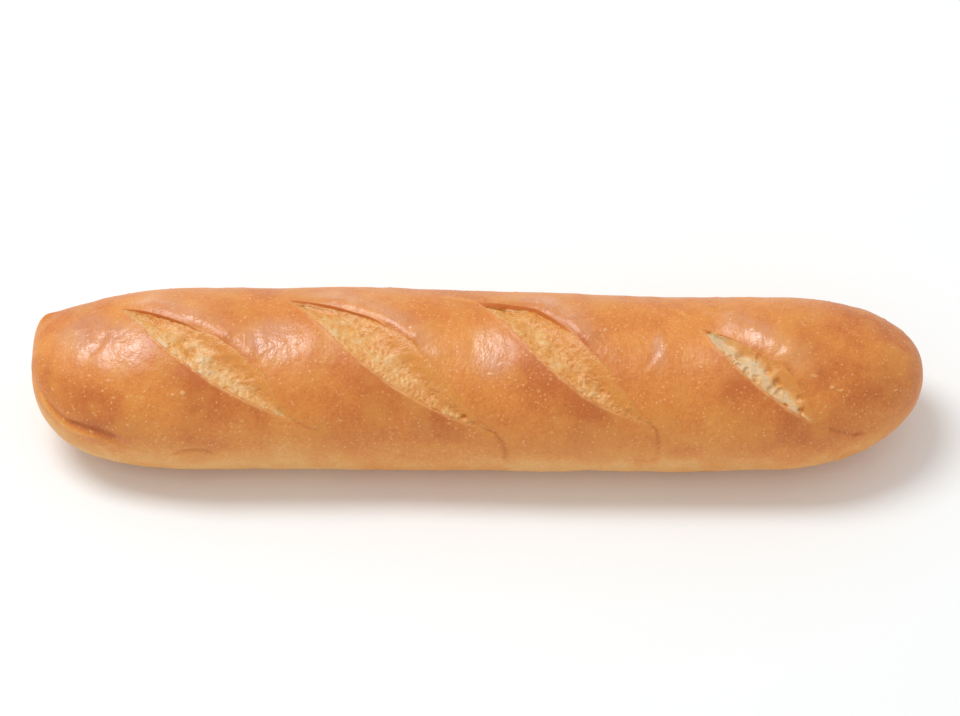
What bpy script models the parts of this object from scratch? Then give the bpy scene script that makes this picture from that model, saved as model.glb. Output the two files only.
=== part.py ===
"""A short, soft-crusted baguette with four slanting slashes, lying on its flat underside.

The loaf is one closed solid. It starts as a sphere whose rings are spaced along the loaf, and
each point is sent to its place on a bare loaf, which is then raised and sunk by the slashes,
their lifted lips and the unevenness of the crust.

A place on the crust is given by two lengths in millimetres. x runs along the loaf. g is the
girth coordinate: the way round the full section from the ridge, towards the rear where it is
positive and towards the front where it is negative.
"""
import math
from collections import namedtuple

import bmesh
import bpy
import numpy as np

# Lengths are in millimetres throughout, and the finished mesh is scaled to metres.
METRES = 0.001

# The bare loaf
LENGTH = 300.0
WIDTH = 63.2
HEIGHT = 50.0
BELLY = 22.0             # height of the widest line
SUNK = 4.2               # how far the round section would reach below the flat underside
SUNK_TIPS = 2.2          # and at the very tips, so that the flat is widest in the middle
SQUARENESS = 2.05        # 2 is an ellipse, and more is squarer
SWAY = 1.8               # the two halves lie this far to the rear and to the front
SWAY_LENGTH = 45.0
SLIMMER = 0.04           # the right half is narrower by this share
SLIMMER_FROM = 20.0
SLIMMER_LENGTH = 40.0

# Each end: how long it takes to reach the full section, how blunt it is, and how its tip
# lifts and leans to the rear over the tip's own length
End = namedtuple("End", "length blunt rise lean tip")
LEFT = End(length=55.0, blunt=3.2, rise=6.0, lean=2.7, tip=22.0)
RIGHT = End(length=50.0, blunt=2.2, rise=4.0, lean=2.7, tip=60.0)

# Each slash: its rear and front tips as (x, g); how far its lower edge and its lip bow away
# from the straight line between them, with the share of the way at which each bows most; how
# far behind its edge the lip is highest; and how far the lip leans out over the crumb
Slash = namedtuple("Slash", "rear front low_bow low_peak lip_bow lip_peak roll lean")
SLASHES = (
    Slash((-121.0, 14.0), (-60.0, -31.6), 11.7, 0.58, 11.7, 0.46, roll=1.2, lean=1.0),
    Slash((-64.5, 16.0), (3.0, -33.5), 12.1, 0.66, 15.9, 0.24, roll=1.2, lean=1.0),
    Slash((-1.0, 16.5), (57.5, -30.4), 11.0, 0.76, 15.4, 0.10, roll=1.5, lean=1.2),
    Slash((73.9, 4.7), (112.6, -31.6), 5.6, 0.45, 8.3, 0.45, roll=6.5, lean=0.0),
)
LOW_RISE, LOW_FALL = 1.15, 0.70      # powers of the lower edge's curve, rear and front of its peak
LIP_RISE, LIP_FALL = 0.94, 1.39
EDGE_STEPS = 48

# The relief of a slash
CRUMB_DEPTH = 2.0        # the crumb lies deepest in the middle
RIM_DROP = 0.5           # this far down just inside the lower edge
LIP_FOOT = 0.9           # and this far down at the foot of the lip
FULL_DEPTH_WIDTH = 6.0   # a slash narrower than this is shallower
SWELL = 1.1              # the crust swells up to the lower edge
SWELL_REACH = 8.0
LIP = 1.6                # the lip stands proud of the loaf
LIP_REACH = 8.5
LIP_CURVE = 1.3          # power of the lip's fall, behind its crest
LEAN_REACH = 3.0

# Shares of the way across a slash, and along it from its rear tip, where its relief changes
DEEPEST_AT = 0.50
MERGE_FROM, MERGE_OVER = 0.40, 0.30     # from here on the crumb rises to meet the crust
SHALLOW_FROM, SHALLOW_OVER = 0.60, 0.35
SHALLOW = 0.75           # share of the depth that is lost near the front tip
SWELL_OVER, SWELL_FADES, SWELL_FADE_OVER = 0.35, 0.80, 0.20
LIP_OVER, LIP_FADES, LIP_FADE_OVER = 0.14, 0.42, 0.42

# The unevenness of the surface: patch size, height and seed
UNEVEN_BROAD = (34.0, 0.55, 131)
UNEVEN_FINE = (13.0, 0.20, 12)
CRUMB_LUMPS = (4.5, 0.55, 13)
LATTICE = 64             # patches each way before they repeat

# The relief fades out near the flat underside and at the very tips
BASE_CLEAR = 1.0
BASE_FADE = 6.0
UNDER_FADE = 20.0
TIP_FADE = 0.6           # share of the full section at which the relief is whole

# A fold along the lower front of the left end, where the dough was tucked in, as (x, g)
FOLD = ((-147.0, -32.0), (-144.5, -37.0), (-138.0, -39.5), (-127.0, -38.5), (-116.5, -44.0))
FOLD_DEPTH = 0.9
FOLD_WIDTH = 2.2

# A small corner of dough on the rear of the left end
CORNER = (-145.5, 30.0)
CORNER_HEIGHT = 1.5
CORNER_WIDTH = 3.6

# The mesh: columns run round the loaf, closer together on its upper side, and rows lie across
# it, turned so that they follow the slashes
COLUMNS = 64
UPPER_FRONT, UPPER_REAR = -52.0, 34.0
UPPER_COLUMNS = 44
ROWS_LEFT_END = 18
ROWS_IN_SLASH = 5
ROWS_BETWEEN = 9
ROWS_RIGHT_END = 17
EDGE_GAP = 0.5           # half the distance along x between the two rows at an edge
EDGE_CROWDING = 0.5      # rows between two slashes are this much closer beside the slashes
TABLE_STEPS = 4000
LEAF_HALF = 7.0          # where a slash's edges lie from its middle, away from the slash
TIP_HALF = 1.4           # and the least that they keep at its tips
FOLLOW_REAR = 34.0       # how far behind and in front of a slash the rows straighten
FOLLOW_FRONT = 42.0
STEP = 0.2               # for measuring the slope of the bare loaf

CRUST_COLOUR = (0.680, 0.242, 0.063, 1.0)
CRUST_ROUGHNESS = 0.42
SHARP_ANGLE = math.radians(50.0)


def smooth(t):
    """Ease from 0 to 1."""
    t = np.clip(t, 0.0, 1.0)
    return t * t * (3.0 - 2.0 * t)


def fullness(x):
    """The share of the full section that the loaf has at x."""
    left = np.clip((LENGTH / 2 + x) / LEFT.length, 0.0, 1.0)
    right = np.clip((LENGTH / 2 - x) / RIGHT.length, 0.0, 1.0)
    left_share = (1.0 - (1.0 - left) ** 2) ** (1.0 / LEFT.blunt)
    right_share = (1.0 - (1.0 - right) ** 2) ** (1.0 / RIGHT.blunt)
    return left_share * right_share


def section(angle, half_width, above, below, middle_y, belly_z):
    """Points of one section; the angle is 0 at the front and a quarter turn at the ridge."""
    tall = np.where(np.sin(angle) >= 0.0, above, below)
    powers = (np.abs(np.cos(angle)) / half_width) ** SQUARENESS
    powers = powers + (np.abs(np.sin(angle)) / tall) ** SQUARENESS
    radius = powers ** (-1.0 / SQUARENESS)
    z = np.maximum(belly_z + radius * np.sin(angle), 0.0)
    y = middle_y * np.minimum(z / BELLY, 1.0) - radius * np.cos(angle)
    return y, z


def bare_loaf(x, angle):
    """The loaf before it was slashed, as y and z."""
    share = np.maximum(fullness(x), 1e-4)
    left_tip = np.clip(1.0 - (x + LENGTH / 2) / LEFT.tip, 0.0, 1.0) ** 2
    right_tip = np.clip(1.0 - (LENGTH / 2 - x) / RIGHT.tip, 0.0, 1.0) ** 2
    belly_z = BELLY + LEFT.rise * left_tip + RIGHT.rise * right_tip
    middle_y = LEFT.lean * left_tip + RIGHT.lean * right_tip - SWAY * np.tanh(x / SWAY_LENGTH)
    slimmer = 1.0 - SLIMMER * np.clip((x - SLIMMER_FROM) / SLIMMER_LENGTH, 0.0, 1.0)
    half_width = WIDTH / 2 * slimmer * share
    sunk = SUNK + (SUNK_TIPS - SUNK) * (x / (LENGTH / 2)) ** 2
    return section(angle, half_width, (HEIGHT - belly_z) * share, (BELLY + sunk) * share,
                   middle_y, belly_z)


def girth_table():
    """Angles round the full section, and the girth coordinate of each."""
    angles = np.linspace(-math.pi / 2, 1.5 * math.pi, TABLE_STEPS + 1)
    y, z = section(angles, WIDTH / 2, HEIGHT - BELLY, BELLY + SUNK, 0.0, BELLY)
    along = np.concatenate(([0.0], np.cumsum(np.hypot(np.diff(y), np.diff(z)))))
    return angles, along - np.interp(math.pi / 2, angles, along)


ANGLES, GIRTHS = girth_table()
HALF_GIRTH = GIRTHS[-1]


def angle_at(g):
    """The section angle at a girth coordinate."""
    return np.interp(g, GIRTHS, ANGLES)


def patches(x, g, size, height, seed):
    """Smooth unevenness in patches of about the given size."""
    table = np.random.default_rng(seed).uniform(-height, height, (LATTICE, LATTICE))
    u = x / size + LATTICE / 2
    v = g / size + LATTICE / 2
    i = np.floor(u).astype(int)
    j = np.floor(v).astype(int)
    a = smooth(u - i)
    b = smooth(v - j)
    i, j = i % LATTICE, j % LATTICE
    i_next, j_next = (i + 1) % LATTICE, (j + 1) % LATTICE
    near = table[i, j] * (1.0 - a) + table[i_next, j] * a
    far = table[i, j_next] * (1.0 - a) + table[i_next, j_next] * a
    return near * (1.0 - b) + far * b


def arch(share, peak, rise, fall):
    """A curve from 0 up to 1 at the peak and back to 0."""
    before = np.sin(math.pi / 2 * np.clip(share / peak, 0.0, 1.0)) ** rise
    after = np.sin(math.pi / 2 * np.clip((1.0 - share) / (1.0 - peak), 0.0, 1.0)) ** fall
    return np.where(share < peak, before, after)


def share_along(slash, g):
    """How far along a slash a girth coordinate is, 0 at its rear tip and 1 at its front tip."""
    return (slash.rear[1] - g) / (slash.rear[1] - slash.front[1])


def middle_of(slash, share):
    """x of the straight line between a slash's tips."""
    return slash.rear[0] + (slash.front[0] - slash.rear[0]) * share


def low_bow(slash, share):
    """How far the lower edge bows to the left of the middle line."""
    return slash.low_bow * arch(share, slash.low_peak, LOW_RISE, LOW_FALL)


def lip_bow(slash, share):
    """How far the lip bows to the right of the middle line."""
    return slash.lip_bow * arch(share, slash.lip_peak, LIP_RISE, LIP_FALL)


def nearest(x, g, line_x, line_g):
    """Distance from each point to a line, and the share of the line's steps at its nearest place."""
    best = np.full(np.shape(x), np.inf)
    where = np.zeros(np.shape(x))
    steps = len(line_x) - 1
    for step in range(steps):
        run_x = line_x[step + 1] - line_x[step]
        run_g = line_g[step + 1] - line_g[step]
        t = (x - line_x[step]) * run_x + (g - line_g[step]) * run_g
        t = np.clip(t / (run_x ** 2 + run_g ** 2), 0.0, 1.0)
        far = np.hypot(x - line_x[step] - t * run_x, g - line_g[step] - t * run_g)
        closer = far < best
        best = np.where(closer, far, best)
        where = np.where(closer, (step + t) / steps, where)
    return best, where


def slash_relief(slash, x, g):
    """What one slash does to the crust: its rise, and its slide to the left and to the front."""
    shares = np.linspace(0.0, 1.0, EDGE_STEPS + 1)
    edge_g = slash.rear[1] + (slash.front[1] - slash.rear[1]) * shares
    low_x = middle_of(slash, shares) - low_bow(slash, shares)
    lip_x = middle_of(slash, shares) + lip_bow(slash, shares)
    to_low, low_share = nearest(x, g, low_x, edge_g)
    to_lip, lip_share = nearest(x, g, lip_x, edge_g)

    share = share_along(slash, g)
    middle = middle_of(slash, share)
    held = np.clip(share, 0.0, 1.0)
    inside = (share > 0.0) & (share < 1.0)
    inside &= (x > middle - low_bow(slash, held)) & (x < middle + lip_bow(slash, held))

    width = to_low + to_lip
    across = to_low / np.maximum(width, 1e-6)
    depth = RIM_DROP + (CRUMB_DEPTH - RIM_DROP) * smooth(across / DEEPEST_AT)
    foot = LIP_FOOT * (1.0 - smooth((held - MERGE_FROM) / MERGE_OVER))
    depth = depth + (foot - depth) * smooth((across - DEEPEST_AT) / (1.0 - DEEPEST_AT))
    depth = depth * (1.0 - SHALLOW * smooth((held - SHALLOW_FROM) / SHALLOW_OVER))
    depth = depth - patches(x, g, *CRUMB_LUMPS) * np.sin(math.pi * across)
    depth = depth * np.minimum(1.0, width / FULL_DEPTH_WIDTH)

    swell_lift = smooth(low_share / SWELL_OVER)
    swell_lift = swell_lift * (1.0 - smooth((low_share - SWELL_FADES) / SWELL_FADE_OVER))
    swell = SWELL * swell_lift * np.exp(-(to_low / SWELL_REACH) ** 2)
    lip_lift = smooth(lip_share / LIP_OVER)
    lip_lift = lip_lift * (1.0 - smooth((lip_share - LIP_FADES) / LIP_FADE_OVER))
    start = 1.0 / (1.0 + slash.roll)    # a lip that rolls up slowly starts lower
    rolled = start + (1.0 - start) * np.sin(math.pi / 2 * np.minimum(to_lip / slash.roll, 1.0))
    behind = np.maximum(to_lip - slash.roll, 0.0) / LIP_REACH
    lip = LIP * lip_lift * rolled * np.exp(-behind ** LIP_CURVE)
    lean = slash.lean * lip_lift * np.exp(-to_lip / LEAN_REACH)

    on_lip_side = ~inside & (x > middle)
    rise = np.where(inside, -depth, np.where(on_lip_side, lip, swell))
    lean = np.where(on_lip_side, lean, 0.0)
    run_x = slash.front[0] - slash.rear[0]
    run_g = slash.rear[1] - slash.front[1]
    run = math.hypot(run_x, run_g)
    return rise, lean * run_g / run, lean * run_x / run


def relief(x, g):
    """How far the whole crust is raised, and how far it slides to the left and to the front."""
    rise = patches(x, g, *UNEVEN_BROAD) + patches(x, g, *UNEVEN_FINE)
    to_fold, _ = nearest(x, g, [p[0] for p in FOLD], [p[1] for p in FOLD])
    rise = rise - FOLD_DEPTH * np.exp(-(to_fold / FOLD_WIDTH) ** 2)
    to_corner = np.hypot(x - CORNER[0], g - CORNER[1])
    rise = rise + CORNER_HEIGHT * np.exp(-(to_corner / CORNER_WIDTH) ** 2)
    slide_x = np.zeros(np.shape(x))
    slide_g = np.zeros(np.shape(x))
    for slash in SLASHES:
        slash_rise, left, front = slash_relief(slash, x, g)
        rise = rise + slash_rise
        slide_x = slide_x + left
        slide_g = slide_g + front
    return rise, slide_x, slide_g


def loaf_points(x, g):
    """Points of the finished crust, in millimetres."""
    rise, left, front = relief(x, g)
    x = x - left
    angle = angle_at(g - front)
    y, z = bare_loaf(x, angle)

    x_low = np.clip(x - STEP, -LENGTH / 2, LENGTH / 2)
    x_high = np.clip(x + STEP, -LENGTH / 2, LENGTH / 2)
    turn = STEP / WIDTH
    along = np.stack((x_high - x_low,
                      bare_loaf(x_high, angle)[0] - bare_loaf(x_low, angle)[0],
                      bare_loaf(x_high, angle)[1] - bare_loaf(x_low, angle)[1]), axis=-1)
    ahead = bare_loaf(x, angle + turn)
    behind = bare_loaf(x, angle - turn)
    around = np.stack((np.zeros(np.shape(x)), ahead[0] - behind[0], ahead[1] - behind[1]), axis=-1)
    outward = np.cross(along, around)
    outward = outward / np.maximum(np.linalg.norm(outward, axis=-1, keepdims=True), 1e-12)

    off_base = smooth((z - BASE_CLEAR) / BASE_FADE) * smooth((HALF_GIRTH - np.abs(g)) / UNDER_FADE)
    off_tip = smooth(fullness(x) / TIP_FADE)
    rise = rise * off_base * off_tip
    return np.stack((x, y, z), axis=-1) + outward * rise[..., None]


def column_girths():
    """The girth coordinate of each column, from the underside over the rear to the front."""
    lower = COLUMNS - UPPER_COLUMNS
    rear_way = HALF_GIRTH - UPPER_REAR
    front_way = HALF_GIRTH + UPPER_FRONT
    rear_columns = round(lower * rear_way / (rear_way + front_way))
    rear = np.linspace(HALF_GIRTH, UPPER_REAR, rear_columns + 1)[:-1]
    upper = np.linspace(UPPER_REAR, UPPER_FRONT, UPPER_COLUMNS + 1)[:-1]
    front = np.linspace(UPPER_FRONT, -HALF_GIRTH, lower - rear_columns + 1)[:-1]
    return np.concatenate((rear, upper, front))


def even_stations(start, end, rows):
    """x of rows that are evenly spaced over the bare loaf's own profile, ends included."""
    x = np.linspace(start, end, TABLE_STEPS + 1)
    half = WIDTH / 2 * fullness(x)
    along = np.concatenate(([0.0], np.cumsum(np.hypot(np.diff(x), np.diff(half)))))
    return np.interp(np.linspace(0.0, along[-1], rows + 1), along, x)


def stations():
    """x of each row before it follows the slashes, with a pair of rows at each slash's edges."""
    middles = [(slash.rear[0] + slash.front[0]) / 2 for slash in SLASHES]
    rows = list(even_stations(-LENGTH / 2, middles[0] - LEAF_HALF - EDGE_GAP, ROWS_LEFT_END))
    for number, middle in enumerate(middles):
        inner = np.linspace(middle - LEAF_HALF + EDGE_GAP, middle + LEAF_HALF - EDGE_GAP,
                            ROWS_IN_SLASH + 1)
        rows.extend(inner)
        outer = middle + LEAF_HALF + EDGE_GAP
        if number + 1 < len(middles):
            t = np.linspace(0.0, 1.0, ROWS_BETWEEN + 1)
            t = t - EDGE_CROWDING * np.sin(2 * math.pi * t) / (2 * math.pi)
            rows.extend(outer + (middles[number + 1] - LEAF_HALF - EDGE_GAP - outer) * t)
        else:
            rows.extend(even_stations(outer, LENGTH / 2, ROWS_RIGHT_END))
    return np.array(rows)


def followed(rows, g):
    """x of every row at one girth coordinate, moved so that the rows follow the slashes."""
    knots = [-LENGTH / 2]
    moves = [0.0]
    for slash in SLASHES:
        share = np.clip(share_along(slash, g), 0.0, 1.0)
        behind = 1.0 - smooth((g - slash.rear[1]) / FOLLOW_REAR)
        before = 1.0 - smooth((slash.front[1] - g) / FOLLOW_FRONT)
        centre = (slash.rear[0] + slash.front[0]) / 2
        middle = middle_of(slash, share)
        low = middle - max(low_bow(slash, share), TIP_HALF)
        lip = middle + max(lip_bow(slash, share), TIP_HALF)
        for home, edge in ((centre - LEAF_HALF, low), (centre + LEAF_HALF, lip)):
            move = (edge - home) * behind * before
            knots.extend((home - EDGE_GAP, home + EDGE_GAP))
            moves.extend((move, move))
    knots.append(LENGTH / 2)
    moves.append(0.0)
    return rows + np.interp(rows, knots, moves)


def make_crust():
    """Material of the browned crust."""
    material = bpy.data.materials.new("browned_crust")
    material.use_nodes = True
    shader = material.node_tree.nodes["Principled BSDF"]
    shader.inputs["Base Color"].default_value = CRUST_COLOUR
    shader.inputs["Roughness"].default_value = CRUST_ROUGHNESS
    shader.inputs["Metallic"].default_value = 0.0
    material.diffuse_color = CRUST_COLOUR
    return material


def make_loaf(collection):
    """The loaf: a sphere whose poles are the two ends, with each point sent to the crust."""
    rows = stations()
    girths = column_girths()
    x = np.stack([followed(rows, g) for g in girths], axis=1)
    points = loaf_points(x, np.broadcast_to(girths, x.shape))
    points[..., 1] -= (points[..., 1].min() + points[..., 1].max()) / 2

    mesh = bpy.data.meshes.new("loaf")
    shape = bmesh.new()
    last = len(rows) - 1
    bmesh.ops.create_uvsphere(shape, u_segments=COLUMNS, v_segments=last, radius=1.0)
    for vert in shape.verts:
        ring = round(math.acos(max(-1.0, min(1.0, vert.co.z))) / math.pi * last)
        column = round(math.atan2(vert.co.y, vert.co.x) / (2 * math.pi) * COLUMNS) % COLUMNS
        row = last - ring
        if row in (0, last):
            vert.co = points[row].mean(axis=0) * METRES
        else:
            vert.co = points[row, column] * METRES
    shape.to_mesh(mesh)
    shape.free()

    mesh.materials.append(make_crust())
    mesh.shade_smooth()
    mesh.set_sharp_from_angle(angle=SHARP_ANGLE)
    collection.objects.link(bpy.data.objects.new("loaf", mesh))


def main():
    """Clear the scene and model the baguette."""
    for leftover in list(bpy.data.objects):
        bpy.data.objects.remove(leftover, do_unlink=True)
    collection = bpy.data.collections.new("baguette")
    bpy.context.scene.collection.children.link(collection)
    make_loaf(collection)


main()
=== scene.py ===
"""A short, soft-crusted baguette with four slanting slashes, on a plain studio floor.

A place on the crust is given by two lengths in millimetres. x runs along the loaf. g is the
girth coordinate: the way round the full section from the ridge, towards the rear where it is
positive and towards the front where it is negative. The form is the CAD loaf's, worked out from
the same sizes and made finer: the crust, the crumb that shows in each slash, and the blisters.
"""

import math
from collections import namedtuple

import bmesh
import bpy
import numpy as np
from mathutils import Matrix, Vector


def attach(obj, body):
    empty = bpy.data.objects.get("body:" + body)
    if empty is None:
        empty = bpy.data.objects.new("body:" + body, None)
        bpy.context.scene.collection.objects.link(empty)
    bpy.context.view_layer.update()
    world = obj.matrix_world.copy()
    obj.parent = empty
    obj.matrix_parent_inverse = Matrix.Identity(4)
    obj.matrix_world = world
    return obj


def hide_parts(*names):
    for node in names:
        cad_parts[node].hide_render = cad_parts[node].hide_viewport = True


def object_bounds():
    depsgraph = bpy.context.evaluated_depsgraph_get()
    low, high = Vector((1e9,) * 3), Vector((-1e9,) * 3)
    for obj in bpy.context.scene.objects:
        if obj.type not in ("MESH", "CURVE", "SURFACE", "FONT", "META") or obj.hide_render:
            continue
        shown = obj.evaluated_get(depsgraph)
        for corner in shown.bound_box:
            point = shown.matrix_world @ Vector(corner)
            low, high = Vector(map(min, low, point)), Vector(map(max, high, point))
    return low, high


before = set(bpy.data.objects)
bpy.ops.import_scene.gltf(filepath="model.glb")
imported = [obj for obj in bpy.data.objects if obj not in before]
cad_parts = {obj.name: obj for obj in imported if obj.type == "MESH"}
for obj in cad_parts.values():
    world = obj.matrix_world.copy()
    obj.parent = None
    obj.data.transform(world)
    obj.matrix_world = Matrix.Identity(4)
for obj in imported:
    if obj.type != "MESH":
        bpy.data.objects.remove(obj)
CAD_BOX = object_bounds()

bl_info = {
    "name": "Soft-crusted baguette",
    "version": (1, 0, 0),
    "blender": (4, 5, 0),
    "location": "View3D > Sidebar > Baguette",
    "description": "Models a short baguette with slashed crust and open crumb on a studio floor",
    "category": "Add Mesh",
}

# Lengths are in millimetres inside this file, and the meshes and settings are in metres
METRES = 0.001

# The bare loaf, as in the CAD
BELLY = 22.0             # height of the widest line
SUNK = 4.2               # how far the round section would reach below the flat underside
SUNK_TIPS = 2.2
SQUARENESS = 2.05
SWAY = 1.8
SWAY_LENGTH = 45.0
SLIMMER = 0.04
SLIMMER_FROM = 20.0
SLIMMER_LENGTH = 40.0
End = namedtuple("End", "length blunt rise lean tip")
LEFT = End(length=55.0, blunt=3.2, rise=6.0, lean=2.7, tip=22.0)
RIGHT = End(length=50.0, blunt=2.2, rise=4.0, lean=2.7, tip=60.0)

# Each slash: its rear and front tips as (x, g), how far its lower edge and its lip bow away from
# the straight line between them, and the share of the way at which each bows most, how far
# behind its edge the lip is highest, how far the lip leans out over the crumb, how deep the
# crumb meets it, over what way the face below the lip turns down, the share of the way at which
# lip and crumb begin to merge, and over what way the crust then slants down. Then its crumb: how
# brown it is by the lower edge and by the lip, the size and depth of its bubbles, and how
# strong its fine texture is
Slash = namedtuple("Slash", "name rear front low_bow low_peak lip_bow lip_peak roll lean foot "
                            "face merge slant pale gold cell pit fine")
SLASHES = (
    Slash("crumb_1", (-121.0, 14.0), (-60.0, -31.6), 11.7, 0.58, 11.7, 0.46, roll=3.2,
          lean=0.45, foot=0.80, face=0.6, merge=0.16, slant=3.2, pale=0.28, gold=0.74,
          cell=2.0, pit=0.30, fine=0.85),
    Slash("crumb_2", (-64.5, 16.0), (3.0, -33.5), 12.1, 0.66, 15.9, 0.24, roll=2.4,
          lean=0.40, foot=0.60, face=0.6, merge=0.15, slant=3.2, pale=0.46, gold=0.74,
          cell=1.7, pit=0.26, fine=1.0),
    Slash("crumb_3", (-1.0, 16.5), (57.5, -30.4), 11.0, 0.76, 15.4, 0.10, roll=2.4,
          lean=0.30, foot=1.15, face=1.0, merge=0.15, slant=3.2, pale=0.50, gold=0.82,
          cell=1.9, pit=0.28, fine=1.0),
    Slash("crumb_4", (73.9, 4.7), (112.6, -31.6), 5.0, 0.42, 10.6, 0.45, roll=6.5,
          lean=0.0, foot=0.10, face=0.6, merge=0.05, slant=1.8, pale=0.02, gold=0.40,
          cell=3.3, pit=0.90, fine=0.6),
)
LOW_RISE, LOW_FALL = 1.15, 0.70
LIP_RISE, LIP_FALL = 0.94, 1.39
EDGE_STEPS = 96
RAGGED = 0.50            # how far a torn edge wanders
RAGGED_SIZE = 3.2
RAGGED_LIP = 8           # the lip wanders by another row of the same patches
NOTCHED = 0.26           # and how far its small notches do
NOTCH_SIZE = 1.1

# The relief of a slash, as in the CAD
RIM_DROP = 0.5
FULL_DEPTH_WIDTH = 6.0
SWELL_REACH = 8.0
LIP_REACH = 8.5
LIP_CURVE = 1.3
CREST_UNEVEN = (0.045, 0.28, 17)     # patch size is a share of the way along
LEAN_REACH = 3.0
DEEPEST_AT = 0.50
MERGE_OVER = 0.22
SHALLOW_FROM, SHALLOW_OVER = 0.60, 0.35
SHALLOW = 0.75
SWELL_OVER, SWELL_FADES, SWELL_FADE_OVER = 0.35, 0.80, 0.20
LIP_OVER, LIP_FADES, LIP_FADE_OVER = 0.14, 0.28, 0.40
SLASH_REACH = 30.0       # beyond this a slash leaves the crust as it was

# The crust's own edge at a slash
RIM_ROLL = 0.22          # height of the thin roll along the lower edge
RIM_ROLL_AT, RIM_ROLL_WIDTH = 0.5, 0.45
WALL_FROM, WALL_OVER = 0.04, 0.50    # the crust turns down into the slash over this way
BED_DROP = 1.8           # the crust's bed lies this far below the crumb
UNDERCUT_REACH = 0.35
CUT_FROM = 4.0           # a slash narrower than this shows less of the cut face's colour, which is partly painted shade under the lip

# The unevenness of the surface: patch size, height and seed
UNEVEN_BROAD = (34.0, 0.55, 131)
UNEVEN_FINE = (13.0, 0.20, 12)
CRUMB_LUMPS = (4.5, 0.55, 13)
WRINKLES = (4.2, 0.15, 14)
WRINKLES_DRAWN = 0.50    # they are longer round the loaf than along it
DIMPLES = (1.7, 0.038, 15)
LATTICE = 64

# The relief fades out near the flat underside and at the very tips
BASE_CLEAR = 1.0
BASE_FADE = 6.0
UNDER_FADE = 20.0
TIP_FADE = 0.6

CORNER = (-145.5, 30.0)
CORNER_HEIGHT = 1.5
CORNER_WIDTH = 3.6

# Folds and creases: points as (x, g), how far each sinks, where a rise is negative, its half
# width, and how much browner it is, which is painted shade along a crease and, where negative,
# painted light along a raised line. Each grows weaker over its first and last part
Crease = namedtuple("Crease", "points depth width brown")
CREASES = (
    Crease(((-147.0, -32.0), (-144.5, -37.0), (-138.0, -39.5), (-127.0, -38.5),
            (-116.5, -44.0)), 0.9, 2.2, 0.10),
    Crease(((-147.3, -34.5), (-144.9, -39.6), (-138.0, -42.3), (-127.1, -41.5),
            (-117.7, -46.5)), -0.35, 1.0, -0.35),
    Crease(((-138.0, -39.2), (-131.8, -37.4), (-125.8, -38.2), (-119.5, -40.6)),
           0.6, 0.9, 0.45),
    Crease(((121.0, -57.5), (122.4, -54.6), (123.2, -50.0)), 0.50, 0.8, 0.10),
    Crease(((-62.0, -31.0), (-56.5, -34.0), (-52.0, -35.4)), 0.30, 0.45, 0.25),
    Crease(((2.2, -33.0), (5.6, -34.8), (8.2, -38.3), (9.3, -42.2), (8.9, -47.9)),
           0.60, 0.60, 0.28),
    Crease(((57.1, -30.1), (59.4, -32.8), (60.1, -37.8), (59.8, -43.6), (57.7, -47.5)),
           0.50, 0.50, 0.25),
    Crease(((57.7, -47.5), (54.0, -46.6), (50.0, -46.2)), 0.20, 0.45, 0.15),
    Crease(((-12.0, 18.5), (-5.2, 17.2), (0.5, 15.5)), -0.15, 1.3, -0.30),
    Crease(((59.8, 26.1), (65.5, 15.1), (71.9, 8.1)), -0.15, 0.7, -0.35),
    Crease(((60.2, 30.0), (60.6, 25.0), (65.9, 14.2)), 0.30, 0.7, 0.05),
    Crease(((115.5, -33.5), (120.5, -36.6), (126.1, -40.5)), 0.35, 0.6, 0.20),
    Crease(((125.0, -40.0), (128.5, -40.8)), 0.50, 1.0, 0.30),
    Crease(((-101.2, -46.8), (-97.8, -43.5), (-92.4, -43.0), (-88.0, -45.5)),
           0.45, 0.70, 0.55),
    Crease(((55.6, -14.3), (59.3, -8.6), (62.5, -3.9), (64.7, -1.3)), -0.40, 0.8, -0.05),
    Crease(((54.6, -13.0), (58.0, -7.4), (61.3, -2.6)), 0.20, 0.9, 0.10),
    Crease(((-130.5, -9.5), (-126.1, -4.6), (-123.1, 2.3)), 0.35, 1.4, 0.05),
    Crease(((-118.2, -4.5), (-117.7, -2.8), (-119.7, 3.2)), 0.30, 1.1, 0.05),
    Crease(((-73.9, -1.2), (-73.4, -6.0), (-72.6, -11.0)), 0.30, 1.6, 0.05),
    Crease(((-1.5, -1.5), (-1.2, -7.0), (0.8, -10.5)), 0.25, 1.5, 0.02),
    Crease(((10.5, -2.5), (11.5, -7.5), (10.0, -11.5)), 0.20, 1.5, 0.02),
)

CREASE_ENDS = 0.15       # share of the way that each of these parts takes
CREASE_TIPS = 0.25       # strength left at the very tips

# Bumps where steam lifted the skin: x, g, reach and height
BUMPS = (
    (-134.5, 5.3, 2.8, 0.30),
    (-129.8, -3.4, 2.6, 0.30),
    (-132.5, -8.6, 2.6, 0.22),
    (-123.1, 1.9, 2.4, 0.30),
    (-119.7, -4.7, 2.2, 0.28),
    (-115.3, -7.0, 2.4, 0.25),
    (-118.4, 0.8, 1.8, 0.20),
    (-72.6, -3.6, 2.2, 0.25),
    (-64.8, -5.5, 2.4, 0.25),
    (-59.8, -3.0, 2.4, 0.25),
    (76.6, 9.7, 1.9, 0.40),
    (80.3, 8.6, 1.9, 0.25),
    (84.0, 8.1, 2.0, 0.40),
    (87.5, 6.1, 2.0, 0.35),
    (91.1, 3.8, 2.1, 0.40),
    (94.6, 0.8, 2.2, 0.40),
    (98.5, -2.8, 2.3, 0.40),
    (103.9, -6.6, 1.9, 0.35),
    (-21.0, -0.5, 1.9, 0.40),
    (34.8, 0.0, 1.8, 0.40),
)

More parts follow.
